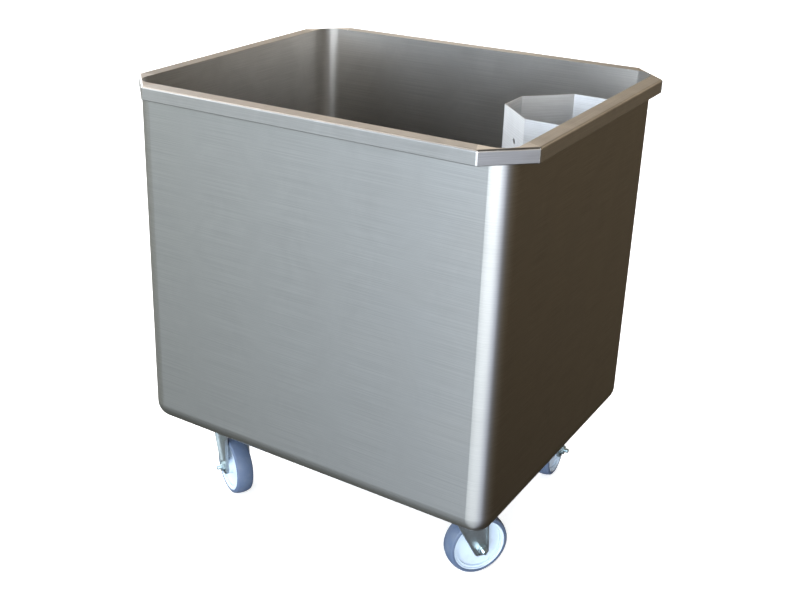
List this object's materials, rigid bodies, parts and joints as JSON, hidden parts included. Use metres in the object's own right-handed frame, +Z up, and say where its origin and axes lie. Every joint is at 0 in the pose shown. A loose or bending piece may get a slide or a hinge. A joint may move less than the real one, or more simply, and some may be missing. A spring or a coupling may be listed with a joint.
{
  "type": "mobile stainless tub",
  "caption": "Deep open stainless-steel tub on swivel castors, with a folded rim, chamfered rim corners and a half-octagon guard inside one end wall.",
  "frame": {"origin": "on the floor, under the middle of the rim's footprint", "axes": "+X along the long side towards the end wall that carries the guard, +Y to the back, +Z up"},
  "size_m": [0.8212, 0.6912, 0.888],
  "materials": {
    "stainless_sheet": "fine brushed, satin",
    "stainless_guard": "bright cold-rolled",
    "weld_metal": "ground and polished",
    "stainless_fixings": "plain",
    "zinc_pressing": "zinc plated, satin",
    "zinc_fastener": "bright zinc plated",
    "bearing_steel": "ground",
    "white_plastic": "moulded, satin",
    "grey_rubber": "moulded, satin"
  },
  "bodies": {
    "tub": {"side_wall": "stainless_sheet", "floor_pan": "stainless_sheet", "rim_front": "stainless_sheet", "rim_back": "stainless_sheet", "rim_left": "stainless_sheet", "rim_right": "stainless_sheet", "rim_corner_front_left": "stainless_sheet", "rim_corner_front_right": "stainless_sheet", "rim_corner_back_left": "stainless_sheet", "rim_corner_back_right": "stainless_sheet", "rim_welds": "weld_metal", "guard": "stainless_guard", "guard_welds": "weld_metal", "weld_studs": "stainless_fixings", "plate_washers": "stainless_fixings", "plate_nuts": "stainless_fixings", "mounting_pad_front_left": "stainless_sheet", "mounting_pad_front_right": "stainless_sheet", "mounting_pad_back_left": "stainless_sheet", "mounting_pad_back_right": "stainless_sheet", "top_plate_front_left": "zinc_pressing", "top_plate_front_right": "zinc_pressing", "top_plate_back_left": "zinc_pressing", "top_plate_back_right": "zinc_pressing", "kingpin_front_left": "zinc_fastener", "kingpin_front_right": "zinc_fastener", "kingpin_back_left": "zinc_fastener", "kingpin_back_right": "zinc_fastener"},
    "castor_front_left": {"fork_front_left": "zinc_pressing", "axle_bolt_front_left": "zinc_fastener", "axle_nut_front_left": "zinc_fastener", "axle_sleeve_front_left": "bearing_steel", "swivel_balls_front_left": "bearing_steel"},
    "wheel_front_left": {"wheel_centre_front_left": "white_plastic", "tyre_front_left": "grey_rubber"},
    "castor_front_right": {"fork_front_right": "zinc_pressing", "axle_bolt_front_right": "zinc_fastener", "axle_nut_front_right": "zinc_fastener", "axle_sleeve_front_right": "bearing_steel", "swivel_balls_front_right": "bearing_steel"},
    "wheel_front_right": {"wheel_centre_front_right": "white_plastic", "tyre_front_right": "grey_rubber"},
    "castor_back_left": {"fork_back_left": "zinc_pressing", "axle_bolt_back_left": "zinc_fastener", "axle_nut_back_left": "zinc_fastener", "axle_sleeve_back_left": "bearing_steel", "swivel_balls_back_left": "bearing_steel"},
    "wheel_back_left": {"wheel_centre_back_left": "white_plastic", "tyre_back_left": "grey_rubber"},
    "castor_back_right": {"fork_back_right": "zinc_pressing", "axle_bolt_back_right": "zinc_fastener", "axle_nut_back_right": "zinc_fastener", "axle_sleeve_back_right": "bearing_steel", "swivel_balls_back_right": "bearing_steel"},
    "wheel_back_right": {"wheel_centre_back_right": "white_plastic", "tyre_back_right": "grey_rubber"}
  },
  "joints": [
    {"name": "swivel_front_left", "type": "hinge", "parent": "tub", "child": "castor_front_left", "pos_m": [-0.277, -0.197, 0.1425], "axis": [0, 0, 1], "continuous": true},
    {"name": "roll_front_left", "type": "hinge", "parent": "castor_front_left", "child": "wheel_front_left", "pos_m": [-0.24496, -0.2155, 0.0625], "axis": [0.5, 0.866, 0], "continuous": true},
    {"name": "swivel_front_right", "type": "hinge", "parent": "tub", "child": "castor_front_right", "pos_m": [0.277, -0.197, 0.1425], "axis": [0, 0, 1], "continuous": true},
    {"name": "roll_front_right", "type": "hinge", "parent": "castor_front_right", "child": "wheel_front_right", "pos_m": [0.29822, -0.16669, 0.0625], "axis": [-0.8192, 0.5736, 0], "continuous": true},
    {"name": "swivel_back_left", "type": "hinge", "parent": "tub", "child": "castor_back_left", "pos_m": [-0.277, 0.197, 0.1425], "axis": [0, 0, 1], "continuous": true},
    {"name": "roll_back_left", "type": "hinge", "parent": "castor_back_left", "child": "wheel_back_left", "pos_m": [-0.2432, 0.21205, 0.0625], "axis": [-0.4067, 0.9135, 0], "continuous": true},
    {"name": "swivel_back_right", "type": "hinge", "parent": "tub", "child": "castor_back_right", "pos_m": [0.277, 0.197, 0.1425], "axis": [0, 0, 1], "continuous": true},
    {"name": "roll_back_right", "type": "hinge", "parent": "castor_back_right", "child": "wheel_back_right", "pos_m": [0.27378, 0.23386, 0.0625], "axis": [-0.9962, -0.0872, 0], "continuous": true}
  ]
}
